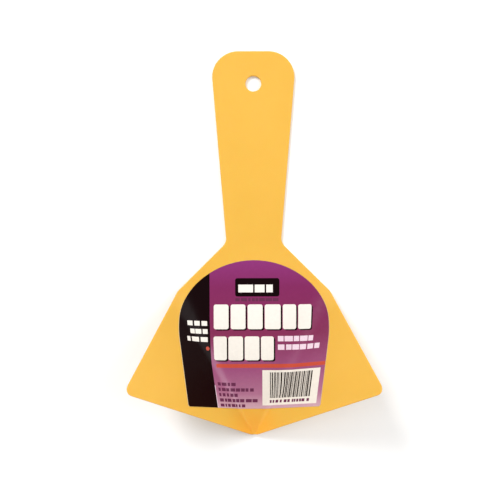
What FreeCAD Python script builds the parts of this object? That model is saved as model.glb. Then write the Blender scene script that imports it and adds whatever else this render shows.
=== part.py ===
import FreeCAD, Part
import math
import os

from FreeCAD import Matrix, Placement, Rotation, Vector

# An inside corner trowel: one plastic moulding, with a printed label stuck to its face.
# It lies on its back. X runs across it, Y from the tip to the handle's end, and +Z is the way
# its face looks. The handle and a triangle below it are one flat panel. Two wings are turned up
# out of that panel along creases that run from the shoulders to the tip.
# Sizes are in mm and degrees. Plan sizes are measured from the point where the face's two
# creases would meet at the tip.

# The folded plate
THICKNESS = 2.2
CREASE_ANGLE = 27.7  # between a crease and the centreline
WING_TURN = 50.3  # how far a wing is turned up out of the panel
BEND_SPREAD = 7.0  # from a crease's line to where its rounding ends, seen from the tip

# The outline
WING_EDGE = 88.0  # working edge, from the tip to a wing's corner
EDGE_RISE = 13.05  # of the working edge above square, before the wings are turned up
SHOULDER_HEIGHT = 78.4  # the shoulders lie on the creases
NECK_HEIGHT = 104.6
NECK_HALF_WIDTH = 14.75
HANDLE_END = 207.7
HANDLE_END_HALF_WIDTH = 23.4
TIP_RADIUS = 6.4
WING_CORNER_RADIUS = 4.0
SHOULDER_RADIUS = 10.0
NECK_RADIUS = 6.0
HANDLE_CORNER_RADIUS = 14.0

# The hole that it hangs by
HOLE_HEIGHT = 190.2
HOLE_RADIUS = 4.2

# The label, as it was cut before it was laid over the creases
LABEL_FILM = 0.2
LABEL_HALF_WIDTH = 44.4  # also the radius of its round top
LABEL_BOTTOM = 14.8
LABEL_ROUND_CENTRE = 50.7

REACH = 320.0  # longer than any part of the trowel, for shapes that are trimmed later

crease = math.radians(CREASE_ANGLE)
turn = math.radians(WING_TURN)
spread = math.radians(BEND_SPREAD)

along_crease = Vector(math.sin(crease), math.cos(crease), 0)
up_wing = Vector(
    math.cos(crease) * math.cos(turn), -math.sin(crease) * math.cos(turn), math.sin(turn)
)
off_wing = up_wing.cross(along_crease)  # square to the wing, on its face's side
off_panel = Vector(0, 0, 1)

# The rounded bend is part of a cone with its point at the tip. It touches the panel along one
# line and the wing along another, each BEND_SPREAD from the crease.
panel_line = Vector(math.sin(crease - spread), math.cos(crease - spread), 0)
wing_line = along_crease * math.cos(spread) + up_wing * math.sin(spread)
cone_half_angle = math.atan(math.sin(spread) / math.tan(turn / 2))
cone_axis = panel_line * math.cos(cone_half_angle) + off_panel * math.sin(cone_half_angle)


def folded_point(across, height):
    """Where a point of the flat right wing lies in plan once the wing is turned up."""
    along = across * math.sin(crease) + height * math.cos(crease)
    out = across * math.cos(crease) - height * math.sin(crease)
    place = along_crease * along + up_wing * out
    return Vector(place.x, place.y, 0)


def plate(origin, corners, normal, low, high):
    """A flat plate between two distances from a plane, over a fan of corners from origin."""
    base = origin + normal * low
    points = [base] + [base + corner for corner in corners] + [base]
    return Part.Face(Part.makePolygon(points)).extrude(normal * (high - low))


def bend_cone(origin, distance):
    """The sector of cone between the panel and the wing, at a distance above the face."""
    point = origin + cone_axis * (distance / math.sin(cone_half_angle))
    to_panel = (panel_line - cone_axis * panel_line.dot(cone_axis)).normalize()
    to_wing = (wing_line - cone_axis * wing_line.dot(cone_axis)).normalize()
    sector = math.degrees(to_panel.getAngle(to_wing))
    radius = REACH * math.tan(cone_half_angle)
    cone = Part.makeCone(0, radius, REACH, Vector(), Vector(0, 0, 1), sector)
    start = to_panel if to_panel.cross(to_wing).dot(cone_axis) > 0 else to_wing
    turned = Rotation(start, cone_axis.cross(start), cone_axis, "ZXY")
    cone.Placement = Placement(point, turned)
    return cone


def folded_sheet(low, high):
    """The right half of a sheet that follows the face, between two distances above it."""
    origin = Vector(0, 0, THICKNESS)
    panel = plate(origin, [panel_line * REACH, Vector(0, REACH, 0)], off_panel, low, high)
    fan = [wing_line * REACH, up_wing * REACH, (up_wing - along_crease) * REACH]
    wing = plate(origin, fan, off_wing, low, high)
    bend = bend_cone(origin, low).cut(bend_cone(origin, high))
    return panel, bend, wing


def rounded_outline(corners, radii):
    """A closed wire through the corners, each rounded by its radius where it has one."""
    edges = []
    ends = []
    for i, (corner, radius) in enumerate(zip(corners, radii)):
        to_last = (corners[i - 1] - corner).normalize()
        to_next = (corners[(i + 1) % len(corners)] - corner).normalize()
        half = to_last.getAngle(to_next) / 2
        run = radius / math.tan(half)
        middle = corner + (to_last + to_next).normalize() * (radius / math.sin(half) - radius)
        ends.append((corner + to_last * run, middle, corner + to_next * run))
    for i, (start, middle, end) in enumerate(ends):
        edges.append(Part.Arc(start, middle, end).toShape())
        edges.append(Part.makeLine(end, ends[(i + 1) % len(ends)][0]))
    return Part.Wire(edges)


def moulding_outline():
    """The trowel's outline in plan. A mould opens along Z, so its rim is square to the panel."""
    rise = math.radians(EDGE_RISE)
    right = [
        folded_point(WING_EDGE * math.cos(rise), WING_EDGE * math.sin(rise)),
        Vector(SHOULDER_HEIGHT * math.tan(crease), SHOULDER_HEIGHT, 0),
        Vector(NECK_HALF_WIDTH, NECK_HEIGHT, 0),
        Vector(HANDLE_END_HALF_WIDTH, HANDLE_END, 0),
    ]
    radii = [WING_CORNER_RADIUS, SHOULDER_RADIUS, NECK_RADIUS, HANDLE_CORNER_RADIUS]
    left = [Vector(-corner.x, corner.y, 0) for corner in reversed(right)]
    return rounded_outline([Vector()] + right + left, [TIP_RADIUS] + radii + radii[::-1])


def label_outline():
    """The label's outline in plan: straight sides and a half-round top, folded with the wings."""
    round_centre = Vector(0, LABEL_ROUND_CENTRE, 0)
    foot = LABEL_ROUND_CENTRE * math.cos(crease)
    half_chord = math.sqrt(foot**2 - LABEL_ROUND_CENTRE**2 + LABEL_HALF_WIDTH**2)
    on_crease = along_crease * (foot + half_chord)
    bottom_on_crease = Vector(LABEL_BOTTOM * math.tan(crease), LABEL_BOTTOM, 0)
    side_bottom = folded_point(LABEL_HALF_WIDTH, LABEL_BOTTOM)
    side_top = folded_point(LABEL_HALF_WIDTH, LABEL_ROUND_CENTRE)

    across = folded_point(1, 0)
    height = folded_point(0, 1)
    fold = Matrix(across.x, height.x, 0, 0, across.y, height.y, 0, 0, 0, 0, 1, 0, 0, 0, 0, 1)
    crossing_angle = math.atan2(on_crease.y - round_centre.y, on_crease.x)
    round_side = Part.Circle(round_centre, Vector(0, 0, 1), LABEL_HALF_WIDTH)
    wing_round = round_side.toShape(0, crossing_angle).transformGeometry(fold)
    right = [
        Part.makeLine(bottom_on_crease, side_bottom),
        Part.makeLine(side_bottom, side_top),
        wing_round,
    ]
    left = [edge.mirror(Vector(), Vector(1, 0, 0)) for edge in right]
    top = round_side.toShape(crossing_angle, math.pi - crossing_angle)
    mirrored_bottom = Vector(-bottom_on_crease.x, LABEL_BOTTOM, 0)
    bottom = Part.makeLine(mirrored_bottom, bottom_on_crease)
    return Part.Wire(Part.__sortEdges__(right + [top] + left + [bottom]))


def trimmed(sheet, outline):
    """Both halves of a folded sheet, cut to an outline in plan and joined."""
    column = Part.Face(outline).extrude(Vector(0, 0, REACH))
    right = [piece.common(column) for piece in sheet]
    left = [piece.mirror(Vector(), Vector(1, 0, 0)) for piece in right]
    return right[0].fuse(right[1:] + left).removeSplitter()


def make_moulding():
    """The trowel itself, handle, panel and wings in one piece."""
    body = trimmed(folded_sheet(-THICKNESS, 0), moulding_outline())
    hole = Part.makeCylinder(HOLE_RADIUS, 2 * THICKNESS, Vector(0, HOLE_HEIGHT, -THICKNESS / 2))
    return body.cut(hole)


def make_label():
    """The label's film, lying on the face and following both bends."""
    return trimmed(folded_sheet(0, LABEL_FILM), label_outline())


def main():
    os.makedirs("parts", exist_ok=True)
    moulding = make_moulding()
    label = make_label()
    box = moulding.optimalBoundingBox()
    to_origin = Vector(0, -(box.YMin + box.YMax) / 2, 0)
    for name, shape in (("trowel_moulding", moulding), ("front_label", label)):
        shape = shape.Solids[0] if len(shape.Solids) == 1 else shape
        placed = shape.translated(to_origin)
        placed.exportStep(f"parts/{name}.step")
        size = placed.optimalBoundingBox()
        print(name, placed.isValid(), len(placed.Solids), len(placed.Faces), round(placed.Volume, 1))
        print("  x", round(size.XMin, 2), round(size.XMax, 2), "y", round(size.YMin, 2),
              round(size.YMax, 2), "z", round(size.ZMin, 2), round(size.ZMax, 2))
    print("tip to origin", round(to_origin.y, 3), "hole at", round(HOLE_HEIGHT + to_origin.y, 3))


main()
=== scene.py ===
from math import atan, atan2, ceil, cos, hypot, pi, radians, sin, sqrt, tan

import bpy
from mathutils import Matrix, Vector
from mathutils.geometry import delaunay_2d_cdt


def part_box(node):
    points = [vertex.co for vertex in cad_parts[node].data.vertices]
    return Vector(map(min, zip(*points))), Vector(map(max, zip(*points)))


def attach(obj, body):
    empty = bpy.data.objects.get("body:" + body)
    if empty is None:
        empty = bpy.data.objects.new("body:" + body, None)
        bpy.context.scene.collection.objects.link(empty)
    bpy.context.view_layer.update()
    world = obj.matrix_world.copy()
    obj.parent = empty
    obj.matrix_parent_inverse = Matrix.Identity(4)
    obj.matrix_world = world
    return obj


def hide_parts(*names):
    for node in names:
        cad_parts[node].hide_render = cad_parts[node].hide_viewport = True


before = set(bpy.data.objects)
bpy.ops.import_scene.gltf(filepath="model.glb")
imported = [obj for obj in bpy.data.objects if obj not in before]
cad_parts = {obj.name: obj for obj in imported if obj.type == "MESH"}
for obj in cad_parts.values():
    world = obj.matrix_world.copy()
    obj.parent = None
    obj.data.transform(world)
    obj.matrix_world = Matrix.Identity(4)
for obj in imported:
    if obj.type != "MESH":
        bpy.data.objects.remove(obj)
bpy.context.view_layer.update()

# --- The moulding -----------------------------------------------------------------------------
# The trowel is one injection moulding in yellow polypropylene. The handle and the middle of the
# blade are flat, and two wings are turned up along creases that meet at the tip. Its rim is square
# to the panel, as it comes out of the mould, with its edges just broken.
WALL = 0.0022
CREASE_ANGLE = radians(27.7)  # between a crease and the centreline
WING_TURN = radians(50.3)  # how far a wing is turned up
BEND_SPREAD = radians(7.0)  # from a crease's line to where its rounding ends, seen from the tip
WORKING_EDGE = 0.088
EDGE_RISE = radians(13.05)  # of a working edge above square, before the wing is turned up
SHOULDER_HEIGHT = 0.0784  # this height and the next three are measured from the tip
NECK = (0.01475, 0.1046)
HANDLE_END = (0.0234, 0.2077)
TIP_RADIUS = 0.0064
WING_CORNER_RADIUS = 0.004
SHOULDER_RADIUS = 0.010
NECK_RADIUS = 0.006
HANDLE_CORNER_RADIUS = 0.014
HOLE_HEIGHT = 0.1902
HOLE_RADIUS = 0.0042
EDGE_ROUND = 0.0005
EDGE_STEPS = 4
FACET = 0.004  # the mesh's spacing over flat and bent stretches
ARC_FACET = FACET / 4  # and round the rim's corners
ROOM = FACET / 3  # kept clear between the inner points and the rim
BEND_FACETS = 14
BEND_MARGIN = 0.03  # kept clear beside a bend, in radians
MERGE = 1e-7  # points nearer than this are one

up = Vector((0, 0, 1))
along_crease = Vector((sin(CREASE_ANGLE), cos(CREASE_ANGLE), 0))
up_wing = Vector(
    (cos(CREASE_ANGLE) * cos(WING_TURN), -sin(CREASE_ANGLE) * cos(WING_TURN), sin(WING_TURN))
)
off_wing = up_wing.cross(along_crease)

# The bend is part of a cone whose point is at the tip. It leaves the panel along one line and
# meets the wing along another.
panel_line = Vector((sin(CREASE_ANGLE - BEND_SPREAD), cos(CREASE_ANGLE - BEND_SPREAD), 0))
wing_line = along_crease * cos(BEND_SPREAD) + up_wing * sin(BEND_SPREAD)
cone_angle = atan(sin(BEND_SPREAD) / tan(WING_TURN / 2))
cone_axis = panel_line * cos(cone_angle) + up * sin(cone_angle)


def folded_plan(across, height):
    """Where a point of the flat right wing lies in plan, from the tip, once the wing is up."""
    along = across * sin(CREASE_ANGLE) + height * cos(CREASE_ANGLE)
    out = across * cos(CREASE_ANGLE) - height * sin(CREASE_ANGLE)
    return (along_crease * along + up_wing * out).to_2d()


wing_corner = folded_plan(WORKING_EDGE * cos(EDGE_RISE), WORKING_EDGE * sin(EDGE_RISE))
tip_slope = atan2(wing_corner.y, wing_corner.x)
moulding_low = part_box("trowel_moulding")[0]
TIP = Vector((0, moulding_low.y - TIP_RADIUS * (1 / cos(tip_slope) - 1), WALL))
HOLE_MIDDLE = Vector((0, TIP.y + HOLE_HEIGHT))


def surface_at(x, y, lift):
    """The point of the sheet at x, y in plan, lift above its face, and the way it faces."""
    start = TIP + cone_axis * (lift / sin(cone_angle))
    out = Vector((abs(x) - start.x, y - start.y, 0))
    height, facing = TIP.z + lift, up
    past_panel = panel_line.x * out.y - panel_line.y * out.x < 0
    past_bend = wing_line.x * out.y - wing_line.y * out.x < 0
    if past_panel and past_bend:
        facing = off_wing
        height = TIP.z + (lift - facing.x * abs(x) - facing.y * (y - TIP.y)) / facing.z
    elif past_panel:
        lean = out.dot(cone_axis)
        a = sin(cone_angle) ** 2 - cos(cone_angle) ** 2
        b = lean * cone_axis.z
        c = lean**2 - (cos(cone_angle) ** 2) * out.length_squared
        out.z = (sqrt(max(b * b - a * c, 0)) - b) / a
        height = start.z + out.z
        facing = (cone_axis * out.dot(cone_axis) - out * cos(cone_angle) ** 2).normalized()
    if x < 0:
        facing = Vector((-facing.x, facing.y, facing.z))
    return Vector((x, y, height)), facing


def rounded_outline(corners, radii, spacing):
    """Points round a closed outline, its corners arcs and its straight stretches divided."""
    arcs = []
    for i, (corner, radius) in enumerate(zip(corners, radii)):
        to_last = (corners[i - 1] - corner).normalized()
        to_next = (corners[(i + 1) % len(corners)] - corner).normalized()
        half = to_last.angle(to_next) / 2
        centre = corner + (to_last + to_next).normalized() * radius / sin(half)
        first = corner + to_last * radius / tan(half) - centre
        last = corner + to_next * radius / tan(half) - centre
        steps = max(6, ceil(radius * first.angle(last) / ARC_FACET))
        sweep = first.angle_signed(last)
        turned = []
        for k in range(steps + 1):
            c, s = cos(-sweep * k / steps), sin(-sweep * k / steps)
            turned.append(centre + Vector((first.x * c - first.y * s, first.x * s + first.y * c)))
        arcs.append(turned)
    points = []
    for i, turned in enumerate(arcs):
        end = arcs[(i + 1) % len(arcs)][0]
        run = end - turned[-1]
        pieces = max(1, round(run.length / spacing))
        points += turned + [turned[-1] + run * k / pieces for k in range(1, pieces)]
    return points


def outward(points):
    """The outward direction at each point of an outline that runs anticlockwise."""
    directions = []
    for i, point in enumerate(points):
        last = (point - points[i - 1]).normalized()
        after = (points[(i + 1) % len(points)] - point).normalized()
        tangent = (last + after).normalized()
        directions.append(Vector((tangent.y, -tangent.x)))
    return directions


def inside(point, outline):
    """Whether a point in plan lies inside a closed outline."""
    crossings = 0
    for i, a in enumerate(outline):
        b = outline[(i + 1) % len(outline)]
        if (a.y > point.y) != (b.y > point.y):
            crossings += point.x < a.x + (b.x - a.x) * (point.y - a.y) / (b.y - a.y)
    return crossings % 2 == 1


def filled(outline, hole):
    """Triangles over an outline less its hole, with a grid on the flats and rays on the bends."""
    points = list(outline) + list(hole)
    loops = [(0, len(outline)), (len(outline), len(hole))]
    edges = [(first + i, first + (i + 1) % count) for first, count in loops for i in range(count)]
    for side in (-1, 1):
        for k in range(BEND_FACETS + 1):
            ray = CREASE_ANGLE - BEND_SPREAD + 2 * BEND_SPREAD * k / BEND_FACETS
            plan = folded_plan(sin(ray), cos(ray)) if ray > CREASE_ANGLE else None
            way = (plan or Vector((sin(ray), cos(ray)))).normalized()
            reach = ROOM * (5 if k % 4 else 2)
            last = None
            while True:
                point = TIP.to_2d() + Vector((side * way.x, way.y)) * reach
                if not inside(point + Vector((side * way.x, way.y)) * ROOM, outline):
                    break
                points.append(point)
                if last is not None:
                    edges.append((last, len(points) - 1))
                last = len(points) - 1
                reach += FACET
    lowest, highest = min(p.y for p in outline), max(p.y for p in outline)
    rows = range(int(lowest / FACET), int(highest / FACET) + 1)
    columns = range(-ceil(WORKING_EDGE / FACET), ceil(WORKING_EDGE / FACET) + 1)
    low_ray = CREASE_ANGLE - BEND_SPREAD
    for row in rows:
        for column in columns:
            point = Vector((column * FACET, row * FACET))
            near = [point + Vector((dx, dy)) for dx in (-ROOM, ROOM) for dy in (-ROOM, ROOM)]
            bend = atan2(abs(point.x), point.y - TIP.y)
            on_bend = low_ray - BEND_MARGIN < bend < CREASE_ANGLE + BEND_SPREAD
            clear = (point - HOLE_MIDDLE).length > HOLE_RADIUS + 2 * ROOM
            if clear and not on_bend and all(inside(corner, outline) for corner in near):
                points.append(point)
    made, _, faces, sources, _, _ = delaunay_2d_cdt(points, edges, [], 0, MERGE)
    kept = []
    for face in faces:
        centre = sum((made[i] for i in face), Vector((0, 0))) / len(face)
        if inside(centre, outline) and not inside(centre, hole):
            kept.append(face)
    return made, kept, sources


right_side = [
    wing_corner,
    Vector((SHOULDER_HEIGHT * tan(CREASE_ANGLE), SHOULDER_HEIGHT)),
    Vector(NECK),
    Vector(HANDLE_END),
]
corner_radii = [WING_CORNER_RADIUS, SHOULDER_RADIUS, NECK_RADIUS, HANDLE_CORNER_RADIUS]
corners = [Vector((0, 0))] + right_side
corners += [Vector((-corner.x, corner.y)) for corner in reversed(right_side)]
corners = [corner + TIP.to_2d() for corner in corners]
radii = [TIP_RADIUS] + corner_radii + corner_radii[::-1]
rim = rounded_outline(corners, radii, FACET)
rim_out = outward(rim)
HOLE_POINTS = 48
hole_out = [
    Vector((-cos(2 * pi * k / HOLE_POINTS), -sin(2 * pi * k / HOLE_POINTS)))
    for k in range(HOLE_POINTS)
]
hole = [HOLE_MIDDLE - way * HOLE_RADIUS for way in hole_out]

vertices, normals, faces = [], [], []


def edge_rings(outline, ways, inner_first):
    """Rings of vertices from the face, over its broken edge, down the rim and round to the back."""
    rings = []
    for lift, turns in ((0, range(EDGE_STEPS, -1, -1)), (-WALL, range(EDGE_STEPS + 1))):
        outside = 1 if lift == 0 else -1
        for k in turns:
            lean = pi / 2 * k / EDGE_STEPS
            inset, drop = EDGE_ROUND * (1 - cos(lean)), EDGE_ROUND * (1 - sin(lean))
            ring = []
            for point, way in zip(outline, ways):
                place, facing = surface_at(*(point - way * inset), lift)
                ring.append(len(vertices))
                vertices.append(place - up * drop * outside)
                slant = way.to_3d() * cos(lean) + facing * outside * sin(lean)
                normals.append(slant.normalized())
            rings.append(ring)
    for upper, lower in zip(rings, rings[1:]):
        for i in range(len(outline)):
            j = (i + 1) % len(outline)
            quad = [upper[i], lower[i], lower[j], upper[j]]
            faces.append(quad if inner_first else quad[::-1])
    return rings[0], rings[-1]


rim_top, rim_bottom = edge_rings(rim, rim_out, True)
hole_top, hole_bottom = edge_rings(hole, hole_out, False)
for lift, rim_ring, hole_ring in ((0, rim_top, hole_top), (-WALL, rim_bottom, hole_bottom)):
    ring = rim_ring + hole_ring
    outline = [vertices[i].to_2d() for i in rim_ring]
    made, cells, sources = filled(outline, [vertices[i].to_2d() for i in hole_ring])
    places = []
    for point, source in zip(made, sources):
        shared = [i for i in source if i < len(ring)]
        if shared:
            places.append(ring[shared[0]])
            continue
        place, facing = surface_at(point.x, point.y, lift)
        places.append(len(vertices))
        vertices.append(place)
        normals.append(facing if lift == 0 else -facing)
    for cell in cells:
        face = [places[i] for i in cell]
        faces.append(face if lift == 0 else face[::-1])

moulding_mesh = bpy.data.meshes.new("yellow_moulding")
moulding_mesh.from_pydata(vertices, [], faces)
moulding_mesh.validate()
moulding_mesh.shade_smooth()
moulding_mesh.normals_split_custom_set_from_vertices(normals)
moulding = bpy.data.objects.new("yellow_moulding", moulding_mesh)
bpy.context.scene.collection.objects.link(moulding)

LIGHTER_YELLOW = (0.645, 0.365, 0.050, 1)
DARKER_YELLOW = (0.615, 0.345, 0.042, 1)
# Painted shade: a deeper orange laid over the plastic round the tip, standing in for light bounced
# between the wings.
PAINTED_TIP_SHADE = (0.69, 0.335, 0.035, 1)


def yellow_polypropylene():
    """Satin moulded plastic, slightly translucent, with a fine grain, faint rubbed marks and painted
    shade round the tip.
    """
    material = bpy.data.materials.new("yellow_polypropylene")
    material.use_nodes = True
    nodes, links = material.node_tree.nodes, material.node_tree.links
    plastic = nodes["Principled BSDF"]
    plastic.inputs["Subsurface Weight"].default_value = 0.30
    plastic.inputs["Subsurface Radius"].default_value = (1.0, 0.45, 0.12)
    plastic.inputs["Subsurface Scale"].default_value = 0.002
    plastic.inputs["Specular IOR Level"].default_value = 0.25
    place = nodes.new("ShaderNodeTexCoord").outputs["Object"]

    cloud = nodes.new("ShaderNodeTexNoise")
    cloud.inputs["Scale"].default_value = 22
    cloud.inputs["Detail"].default_value = 3
    links.new(place, cloud.inputs["Vector"])
    tint = nodes.new("ShaderNodeValToRGB")
    tint.color_ramp.elements[0].position = 0.3
    tint.color_ramp.elements[0].color = DARKER_YELLOW
    tint.color_ramp.elements[1].position = 0.7
    tint.color_ramp.elements[1].color = LIGHTER_YELLOW
    links.new(cloud.outputs["Fac"], tint.inputs["Fac"])

    # Painted shade: the colour is made deeper and more orange round the tip, where the two bends
    # meet, in place of the shade and bounced light between the wings there.
    from_tip = nodes.new("ShaderNodeVectorMath")
    from_tip.operation = "DISTANCE"
    from_tip.inputs[1].default_value = TIP
    links.new(place, from_tip.inputs[0])
    painted_shade_amount = nodes.new("ShaderNodeMapRange")
    painted_shade_amount.interpolation_type = "SMOOTHSTEP"
    painted_shade_amount.inputs["From Min"].default_value = 0.004
    painted_shade_amount.inputs["From Max"].default_value = 0.024
    painted_shade_amount.inputs["To Min"].default_value = 1
    painted_shade_amount.inputs["To Max"].default_value = 0
    links.new(from_tip.outputs["Value"], painted_shade_amount.inputs["Value"])
    tip_shade_mix = nodes.new("ShaderNodeMix")
    tip_shade_mix.data_type = "RGBA"
    links.new(painted_shade_amount.outputs["Result"], tip_shade_mix.inputs[0])
    links.new(tint.outputs["Color"], tip_shade_mix.inputs[6])
    tip_shade_mix.inputs[7].default_value = PAINTED_TIP_SHADE
    links.new(tip_shade_mix.outputs[2], plastic.inputs["Base Color"])

    rub = nodes.new("ShaderNodeTexNoise")
    rub.inputs["Scale"].default_value = 60
    rub.inputs["Detail"].default_value = 6
    rub.inputs["Distortion"].default_value = 1.5
    links.new(place, rub.inputs["Vector"])
    gloss = nodes.new("ShaderNodeMapRange")
    gloss.inputs["From Min"].default_value = 0.3
    gloss.inputs["From Max"].default_value = 0.7
    gloss.inputs["To Min"].default_value = 0.46
    gloss.inputs["To Max"].default_value = 0.56
    links.new(rub.outputs["Fac"], gloss.inputs["Value"])
    links.new(gloss.outputs["Result"], plastic.inputs["Roughness"])

    grain = nodes.new("ShaderNodeTexNoise")
    grain.inputs["Scale"].default_value = 2600
    grain.inputs["Detail"].default_value = 2
    links.new(place, grain.inputs["Vector"])
    spark = nodes.new("ShaderNodeBump")
    spark.inputs["Strength"].default_value = 0.12
    spark.inputs["Distance"].default_value = 0.0002
    links.new(grain.outputs["Fac"], spark.inputs["Height"])

    # Fine scratches run across the blade, a little off square.
    drawn = nodes.new("ShaderNodeMapping")
    drawn.inputs["Rotation"].default_value = (0, 0, 0.35)
    drawn.inputs["Scale"].default_value = (30, 900, 30)
    links.new(place, drawn.inputs["Vector"])
    streaks = nodes.new("ShaderNodeTexNoise")
    streaks.inputs["Scale"].default_value = 1
    streaks.inputs["Detail"].default_value = 3
    links.new(drawn.outputs["Vector"], streaks.inputs["Vector"])
    scratches = nodes.new("ShaderNodeValToRGB")
    scratches.color_ramp.elements[0].position = 0.66
    scratches.color_ramp.elements[1].position = 0.74
    links.new(streaks.outputs["Fac"], scratches.inputs["Fac"])
    scored = nodes.new("ShaderNodeBump")
    scored.invert = True
    scored.inputs["Strength"].default_value = 0.10
    scored.inputs["Distance"].default_value = 0.0001
    links.new(scratches.outputs["Color"], scored.inputs["Height"])
    links.new(spark.outputs["Normal"], scored.inputs["Normal"])
    links.new(scored.outputs["Normal"], plastic.inputs["Normal"])
    return material


moulding_mesh.materials.append(yellow_polypropylene())
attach(moulding, "root")
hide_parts("trowel_moulding")

# --- The label --------------------------------------------------------------------------------
# A printed, gloss-coated film with an adhesive back. It is cut with a half-round top, stuck over
# the blade's face, and rubbed down into both bends. Its print is plain shapes with no lettering.
FILM = 0.0002
MM = 0.001  # the label is drawn flat, in millimetres from the tip
HALF_WIDTH = 44.4
BOTTOM = 14.8
ROUND_CENTRE = 50.7
TOP = ROUND_CENTRE + HALF_WIDTH
CORNER_CUT = 0.8
PAST_EDGE = 5  # how far the ink's shapes run past the cut, where they bleed off the label
LABEL_BEND_FACETS = 24

to_panel = (panel_line - cone_axis * panel_line.dot(cone_axis)).normalized()
to_wing = (wing_line - cone_axis * wing_line.dot(cone_axis)).normalized()
sector = to_panel.angle(to_wing)
round_bend = cone_axis.cross(to_panel)
if round_bend.dot(to_wing) < 0:
    round_bend.negate()


def laid(across, height, lift):
    """Where a point of the flat film lies once it is stuck down, and the way it faces there."""
    bearing, reach = atan2(abs(across), height), hypot(across, height)
    past = bearing - (CREASE_ANGLE - BEND_SPREAD)
    if past <= 0:
        place, facing = Vector((abs(across), height, 0)), up.copy()
    elif past >= 2 * BEND_SPREAD:
        turn = bearing - CREASE_ANGLE
        place, facing = (along_crease * cos(turn) + up_wing * sin(turn)) * reach, off_wing.copy()
    else:
        angle = sector * past / (2 * BEND_SPREAD)
        spoke = to_panel * cos(angle) + round_bend * sin(angle)
        place = (cone_axis * cos(cone_angle) + spoke * sin(cone_angle)) * reach
        facing = cone_axis * sin(cone_angle) - spoke * cos(cone_angle)
    place = place + facing * lift
    if across < 0:
        place.x, facing.x = -place.x, -facing.x
    return place + TIP, facing


def film_ink(name, shades, gloss=0.06, roughness=0.3):
    """A printed colour under the film's gloss. shades run from the label's bottom to its top."""
    material = bpy.data.materials.new(name)
    material.use_nodes = True
    nodes, links = material.node_tree.nodes, material.node_tree.links
    film = nodes["Principled BSDF"]
    film.inputs["Specular IOR Level"].default_value = gloss
    sheet = nodes.new("ShaderNodeUVMap")
    sheet.uv_map = "sheet"
    split = nodes.new("ShaderNodeSeparateXYZ")
    links.new(sheet.outputs["UV"], split.inputs["Vector"])
    fade = nodes.new("ShaderNodeValToRGB")
    stops = fade.color_ramp.elements
    while len(stops) < len(shades):
        stops.new(0.5)
    for stop, (position, colour) in zip(stops, shades):
        stop.position = position
        stop.color = (*colour, 1)
    links.new(split.outputs["Y"], fade.inputs["Fac"])
    mottle = nodes.new("ShaderNodeTexNoise")
    mottle.inputs["Scale"].default_value = 45
    mottle.inputs["Detail"].default_value = 8
    links.new(sheet.outputs["UV"], mottle.inputs["Vector"])
    press = nodes.new("ShaderNodeMapRange")
    press.inputs["To Min"].default_value = 0.93
    press.inputs["To Max"].default_value = 1.07
    links.new(mottle.outputs["Fac"], press.inputs["Value"])
    inked = nodes.new("ShaderNodeVectorMath")
    inked.operation = "SCALE"
    links.new(fade.outputs["Color"], inked.inputs[0])
    links.new(press.outputs["Result"], inked.inputs["Scale"])
    links.new(inked.outputs["Vector"], film.inputs["Base Color"])
    haze = nodes.new("ShaderNodeMapRange")
    haze.inputs["To Min"].default_value = roughness - 0.05
    haze.inputs["To Max"].default_value = roughness + 0.05
    links.new(mottle.outputs["Fac"], haze.inputs["Value"])
    links.new(haze.outputs["Result"], film.inputs["Roughness"])
    ripple = nodes.new("ShaderNodeTexNoise")
    ripple.inputs["Scale"].default_value = 9
    ripple.inputs["Detail"].default_value = 2
    links.new(sheet.outputs["UV"], ripple.inputs["Vector"])
    wave = nodes.new("ShaderNodeBump")
    wave.inputs["Strength"].default_value = 0.65
    wave.inputs["Distance"].default_value = 0.0004
    links.new(ripple.outputs["Fac"], wave.inputs["Height"])
    links.new(wave.outputs["Normal"], film.inputs["Normal"])
    return material


purple_fade = [
    (0.00, (0.47, 0.29, 0.34)),
    (0.10, (0.32, 0.118, 0.200)),
    (0.26, (0.25, 0.055, 0.143)),
    (0.50, (0.168, 0.014, 0.063)),
    (0.82, (0.160, 0.009, 0.075)),
    (1.00, (0.195, 0.018, 0.130)),
]
inks = {"purple": film_ink("purple_ink", purple_fade, gloss=0.3)}
two_shades = (  # ink, material, colour at the label's bottom, colour at its top
    ("black", "black_ink", (0.006, 0.0004, 0.0003), (0.004, 0.0004, 0.001)),
    ("orange", "orange_ink", (0.43, 0.060, 0.034), (0.45, 0.064, 0.038)),
    ("white", "white_ink", (0.68, 0.64, 0.58), (0.70, 0.66, 0.61)),
    ("pale", "pale_ink", (0.65, 0.50, 0.57), (0.68, 0.55, 0.62)),
    ("paper", "bar_panel_white", (0.66, 0.61, 0.54), (0.70, 0.65, 0.58)),
    ("plum", "plum_ink", (0.11, 0.023, 0.06), (0.10, 0.022, 0.055)),
)
for ink, name, at_bottom, at_top in two_shades:
    inks[ink] = film_ink(name, [(0.0, at_bottom), (1.0, at_top)])
ink_names = list(inks)


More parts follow.
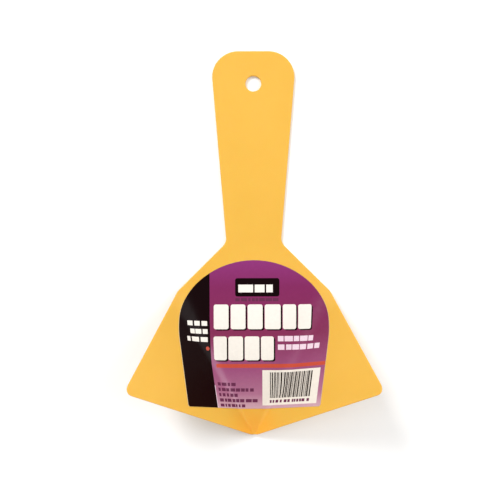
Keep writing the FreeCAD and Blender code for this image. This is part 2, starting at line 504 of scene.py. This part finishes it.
def row_of_marks():
    """A node tree that prints a row of upright marks of random width with random gaps."""
    tree = bpy.data.node_groups.new("row_of_marks", "GeometryNodeTree")
    sockets = (
        ("Length", "Float", 30.0),
        ("Height", "Float", 1.0),
        ("Marks", "Int", 5),
        ("Narrowest Mark", "Int", 1),
        ("Widest Mark", "Int", 3),
        ("Widest Gap", "Int", 2),
        ("Seed", "Int", 0),
        ("Ink", "Material", None),
    )
    for name, kind, value in sockets:
        socket = tree.interface.new_socket(name, in_out="INPUT", socket_type=f"NodeSocket{kind}")
        if value is not None:
            socket.default_value = value
    tree.interface.new_socket("Geometry", in_out="OUTPUT", socket_type="NodeSocketGeometry")
    given = tree.nodes.new("NodeGroupInput").outputs
    link = tree.links.new

    def maths(operation, a, b):
        node = tree.nodes.new("ShaderNodeMath")
        node.operation = operation
        for socket, value in zip(node.inputs, (a, b)):
            if isinstance(value, (int, float)):
                socket.default_value = value
            else:
                link(value, socket)
        return node.outputs[0]

    def random_width(narrowest, widest, seed):
        node = tree.nodes.new("FunctionNodeRandomValue")
        node.data_type = "INT"
        for name, value in (("Min_002", narrowest), ("Max_002", widest), ("Seed", seed)):
            socket = next(s for s in node.inputs if s.identifier == name)
            if isinstance(value, int):
                socket.default_value = value
            else:
                link(value, socket)
        return next(s for s in node.outputs if s.identifier == "Value_002")

    mark = random_width(given["Narrowest Mark"], given["Widest Mark"], given["Seed"])
    gap = random_width(1, given["Widest Gap"], maths("ADD", given["Seed"], 101))
    running = tree.nodes.new("GeometryNodeAccumulateField")
    link(maths("ADD", mark, gap), running.inputs["Value"])
    unit = maths("DIVIDE", given["Length"], running.outputs["Total"])
    middle = maths("ADD", running.outputs["Trailing"], maths("MULTIPLY", mark, 0.5))

    line = tree.nodes.new("GeometryNodeMeshLine")
    line.inputs["Offset"].default_value = (0, 0, 0)
    link(given["Marks"], line.inputs["Count"])
    place = tree.nodes.new("ShaderNodeCombineXYZ")
    link(maths("MULTIPLY", middle, unit), place.inputs["X"])
    link(maths("MULTIPLY", given["Height"], 0.5), place.inputs["Y"])
    spread_out = tree.nodes.new("GeometryNodeSetPosition")
    link(line.outputs["Mesh"], spread_out.inputs["Geometry"])
    size = tree.nodes.new("ShaderNodeCombineXYZ")
    size.inputs["Z"].default_value = 1
    link(maths("MULTIPLY", mark, unit), size.inputs["X"])
    link(given["Height"], size.inputs["Y"])
    link(place.outputs["Vector"], spread_out.inputs["Position"])
    block = tree.nodes.new("GeometryNodeMeshGrid")
    block.inputs["Vertices X"].default_value = 2
    block.inputs["Vertices Y"].default_value = 2
    marks = tree.nodes.new("GeometryNodeInstanceOnPoints")
    link(spread_out.outputs["Geometry"], marks.inputs["Points"])
    link(block.outputs["Mesh"], marks.inputs["Instance"])
    link(size.outputs["Vector"], marks.inputs["Scale"])
    real = tree.nodes.new("GeometryNodeRealizeInstances")
    link(marks.outputs["Instances"], real.inputs["Geometry"])
    inked = tree.nodes.new("GeometryNodeSetMaterial")
    link(real.outputs["Geometry"], inked.inputs["Geometry"])
    link(given["Ink"], inked.inputs["Material"])
    link(inked.outputs["Geometry"], tree.nodes.new("NodeGroupOutput").inputs["Geometry"])
    return tree


marks_tree = row_of_marks()


def printed_row(ink, left, bottom, seed, **sizes):
    """The shapes of one row of marks, from its lower left corner on the flat sheet."""
    carrier = bpy.data.objects.new("row_of_marks", bpy.data.meshes.new("row_of_marks"))
    bpy.context.scene.collection.objects.link(carrier)
    press = carrier.modifiers.new("marks", "NODES")
    press.node_group = marks_tree
    values = {"Seed": seed, "Ink": inks[ink]}
    for name, value in sizes.items():
        values[name.replace("_", " ")] = value
    for socket in marks_tree.interface.items_tree:
        if socket.in_out == "INPUT":
            press[socket.identifier] = values[socket.name]
    graph = bpy.context.evaluated_depsgraph_get()
    printed = bpy.data.meshes.new_from_object(carrier.evaluated_get(graph))
    shapes = []
    for polygon in printed.polygons:
        loop = [printed.vertices[i].co.to_2d() for i in polygon.vertices]
        shapes.append(([point + Vector((left, bottom)) for point in loop], ink))
    bpy.data.objects.remove(carrier)
    bpy.data.meshes.remove(printed)
    return shapes


ROUNDING_STEPS = 4


def block(ink, left, bottom, right, top, radius=0.0):
    """A rectangle of ink, with rounded corners if it has a radius."""
    corners = [(left, bottom), (right, bottom), (right, top), (left, top)]
    if not radius:
        return [([Vector(corner) for corner in corners], ink)]
    points = []
    for k, (x, y) in enumerate(corners):
        inward_x = radius if x == left else -radius
        inward_y = radius if y == bottom else -radius
        centre = Vector((x + inward_x, y + inward_y))
        for step in range(ROUNDING_STEPS + 1):
            angle = pi + (k + step / ROUNDING_STEPS) * pi / 2
            points.append(centre + Vector((cos(angle), sin(angle))) * radius)
    return [(points, ink)]


SHADOW_RIGHT = 0.8
SHADOW_DOWN = 0.7
BLOCK_RADIUS = 1.1


def big_word(left, bottom, top, widths, gap):
    """A row of tall white blocks, each over its own black shadow."""
    shadows, blocks = [], []
    for width in widths:
        shadow_left = left + SHADOW_RIGHT
        shadow_right = left + width + SHADOW_RIGHT
        shadows += block(
            "black", shadow_left, bottom - SHADOW_DOWN, shadow_right, top - SHADOW_DOWN, BLOCK_RADIUS
        )
        blocks += block("white", left, bottom, left + width, top, BLOCK_RADIUS)
        left += width + gap
    return shadows + blocks


# The cut edge, with points close enough together for the film to lie smoothly over the bends.
ROUND_STEPS = 64
film_edge = []
for k in range(ROUND_STEPS + 1):
    angle = pi * k / ROUND_STEPS
    film_edge.append(Vector((HALF_WIDTH * cos(angle), ROUND_CENTRE + HALF_WIDTH * sin(angle))))
for height in range(45, 19, -5):
    film_edge.append(Vector((-HALF_WIDTH, height)))
film_edge.append(Vector((-HALF_WIDTH, BOTTOM + CORNER_CUT)))
film_edge.append(Vector((-HALF_WIDTH + CORNER_CUT, BOTTOM)))
for across in range(-40, 41, 5):
    film_edge.append(Vector((across, BOTTOM)))
film_edge.append(Vector((HALF_WIDTH - CORNER_CUT, BOTTOM)))
film_edge.append(Vector((HALF_WIDTH, BOTTOM + CORNER_CUT)))
for height in range(20, 46, 5):
    film_edge.append(Vector((HALF_WIDTH, height)))

# The print, from the first ink laid to the last: a black band down the left side with a pale line
# beside it, an orange stripe, a black badge, tall white blocks and rows of small marks.
BAND_RIGHT = -23.9
LINE_WIDTH = 0.4
MARK_PITCH = 1.6  # about what one mark and its gap take, against the row's height
artwork = [(film_edge, "purple")]
artwork += block(
    "black", -HALF_WIDTH - PAST_EDGE, BOTTOM - PAST_EDGE, BAND_RIGHT, TOP + PAST_EDGE
)
artwork += block("pale", BAND_RIGHT, BOTTOM - PAST_EDGE, BAND_RIGHT + LINE_WIDTH, 27)
artwork += block("orange", -21.0, 36.9, HALF_WIDTH + PAST_EDGE, 39.0)
artwork += block("black", -10.1, 75.5, 13.8, 85.4, 1.2)
artwork += big_word(-21.7, 57.8, 71.2, (8.0, 8.0, 8.1, 8.6, 7.2, 7.5), 1.15)
artwork += big_word(-22.0, 41.0, 53.9, (7.3, 7.9, 7.9, 6.9), 0.9)
rows = (  # ink, left, bottom, length, height, seed
    ("white", -37.4, 59.6, 12.5, 2.6, 4),
    ("white", -36.0, 55.2, 11.1, 2.6, 5),
    ("white", -38.8, 50.8, 13.9, 2.6, 6),
    ("pale", 12.9, 51.2, 21.6, 2.9, 7),
    ("pale", 12.9, 46.6, 26.2, 2.9, 8),
    ("white", -8.4, 77.7, 20.4, 4.2, 3),
    ("plum", -10.0, 72.9, 23.7, 1.8, 14),
    ("plum", -21.6, 27.0, 12.0, 1.8, 9),
    ("plum", -21.6, 24.0, 22.2, 1.8, 10),
    ("plum", -21.6, 21.1, 13.2, 1.8, 11),
    ("plum", -21.6, 18.2, 24.3, 1.8, 12),
    ("plum", -21.6, 15.5, 17.2, 1.6, 13),
)
for ink, left, bottom, length, height, seed in rows:
    marks = max(3, round(length / height / MARK_PITCH))
    artwork += printed_row(
        ink, left, bottom, seed, Length=length, Height=height, Marks=marks,
        Narrowest_Mark=3, Widest_Mark=9, Widest_Gap=2,
    )

# A white panel of upright bars of random width, which stand for nothing, over a row of marks.
BARS_LEFT = 8.6
BARS_WIDTH = 28.2
artwork += block("paper", 4.5, 16.5, 41.5, 35.6)
artwork += printed_row(
    "black", BARS_LEFT, 20.4, 21, Length=BARS_WIDTH, Height=14.0, Marks=32,
    Narrowest_Mark=1, Widest_Mark=4, Widest_Gap=2,
)
artwork += printed_row(
    "plum", BARS_LEFT, 17.8, 22, Length=BARS_WIDTH, Height=1.6, Marks=12,
    Narrowest_Mark=4, Widest_Mark=7, Widest_Gap=5,
)
DOT = Vector((-25.7, 47.2))
DOT_RADIUS = 1.1
DOT_POINTS = 16
dot_angles = [2 * pi * k / DOT_POINTS for k in range(DOT_POINTS)]
artwork.append(([DOT + Vector((cos(a), sin(a))) * DOT_RADIUS for a in dot_angles], "orange"))

# The flat film is divided along every shape's outline and along rays over the bends. A face takes
# the ink of the last shape that covers it.
points, loops, lines = [], [], []
for shape, _ in artwork:
    loops.append(list(range(len(points), len(points) + len(shape))))
    points += shape
for side in (-1, 1):
    for k in range(LABEL_BEND_FACETS + 1):
        bearing = CREASE_ANGLE - BEND_SPREAD + 2 * BEND_SPREAD * k / LABEL_BEND_FACETS
        for reach in (BOTTOM / 2, 2 * ROUND_CENTRE):
            points.append(Vector((side * sin(bearing), cos(bearing))) * reach)
        lines.append((len(points) - 2, len(points) - 1))
MERGE_MM = 1e-5  # points nearer than this are one
flat, _, cells, _, _, owners = delaunay_2d_cdt(points, lines, loops, 0, MERGE_MM)
cells, owners = zip(*[(cell, owner) for cell, owner in zip(cells, owners) if 0 in owner])

label_vertices, facings = [], []
for lift in (FILM, 0):
    for point in flat:
        place, facing = laid(point.x * MM, point.y * MM, lift)
        label_vertices.append(place)
        facings.append(facing if lift else -facing)
label_faces, label_inks, loop_normals = [], [], []
for cell, owner in zip(cells, owners):
    label_faces.append(list(cell))
    label_inks.append(ink_names.index(artwork[max(owner)][1]))
    loop_normals += [facings[i] for i in cell]
for cell in cells:
    under = [i + len(flat) for i in reversed(cell)]
    label_faces.append(under)
    label_inks.append(ink_names.index("paper"))
    loop_normals += [facings[i] for i in under]
sides = {(cell[i], cell[(i + 1) % len(cell)]) for cell in cells for i in range(len(cell))}
for a, b in sorted(sides):
    if (b, a) not in sides:
        wall = [b, a, a + len(flat), b + len(flat)]
        along = (label_vertices[b] - label_vertices[a]).normalized()
        label_faces.append(wall)
        label_inks.append(ink_names.index("paper"))
        loop_normals += [along.cross(facings[a]).normalized()] * 4

used = sorted({i for face in label_faces for i in face})
renumbered = {old: new for new, old in enumerate(used)}
label_mesh = bpy.data.meshes.new("printed_label")
label_mesh.from_pydata(
    [label_vertices[i] for i in used], [], [[renumbered[i] for i in face] for face in label_faces]
)
for name in ink_names:
    label_mesh.materials.append(inks[name])
label_mesh.polygons.foreach_set("material_index", label_inks)
sheet_map = label_mesh.uv_layers.new(name="sheet")
for loop in label_mesh.loops:
    point = flat[used[loop.vertex_index] % len(flat)]
    across = (point.x + HALF_WIDTH) / (TOP - BOTTOM)
    sheet_map.data[loop.index].uv = (across, (point.y - BOTTOM) / (TOP - BOTTOM))
label_mesh.shade_smooth()
label_mesh.normals_split_custom_set(loop_normals)
label = bpy.data.objects.new("printed_label", label_mesh)
bpy.context.scene.collection.objects.link(label)
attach(label, "root")
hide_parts("front_label")

# --- The table, the lights and the camera -------------------------------------------------------
# The trowel lies on its back on a plain white table and is seen from above. A soft lamp hangs
# beyond the handle's end, a larger one to the right and a weak one to the left.
TABLE_SIZE = 40
TABLE_GAP = 0.00005  # keeps the table's face and the trowel's back apart
bpy.ops.mesh.primitive_plane_add(size=TABLE_SIZE, location=(0, 0, -TABLE_GAP))
table = bpy.context.object
table.name = "table"
table_paint = bpy.data.materials.new("white_table")
table_paint.use_nodes = True
paint = table_paint.node_tree.nodes["Principled BSDF"]
paint.inputs["Base Color"].default_value = (0.84, 0.84, 0.84, 1)
paint.inputs["Roughness"].default_value = 0.9
paint.inputs["Specular IOR Level"].default_value = 0.1
table.data.materials.append(table_paint)

LAMPS_AIM = Vector((0, -0.03, 0))
LAMPS = (  # name, place, size, power
    ("key_lamp", (-0.50, 0.68, 0.86), 0.45, 10.7),
    ("right_lamp", (1.04, 0.20, 0.75), 0.90, 10.6),
    ("left_lamp", (-1.04, -0.10, 0.75), 0.45, 2.8),
)
for name, place, size, power in LAMPS:
    lamp = bpy.data.lights.new(name, "AREA")
    lamp.size = size
    lamp.energy = power
    light = bpy.data.objects.new(name, lamp)
    light.location = place
    light.rotation_euler = (LAMPS_AIM - Vector(place)).to_track_quat("-Z", "Y").to_euler()
    bpy.context.scene.collection.objects.link(light)

ROOM_LIGHT = 0.65
world = bpy.data.worlds.new("soft_room")
world.use_nodes = True
world.node_tree.nodes["Background"].inputs["Color"].default_value = (1, 1, 1, 1)
world.node_tree.nodes["Background"].inputs["Strength"].default_value = ROOM_LIGHT
bpy.context.scene.world = world
bpy.context.scene.view_settings.view_transform = "Standard"

CAMERA_PLACE = Vector((-0.0020, 0.0044, 0.5486))
CAMERA_TILT = radians(0.84)  # towards the handle
CAMERA_ROLL = radians(-0.15)
CAMERA_LENS = 72.9
camera_data = bpy.data.cameras.new("camera")
camera_data.lens = CAMERA_LENS
camera_data.sensor_width = 36
camera_data.clip_start = 0.01
camera = bpy.data.objects.new("camera", camera_data)
camera.location = CAMERA_PLACE
camera.rotation_euler = (-CAMERA_TILT, 0, CAMERA_ROLL)
bpy.context.scene.collection.objects.link(camera)
bpy.context.scene.camera = camera
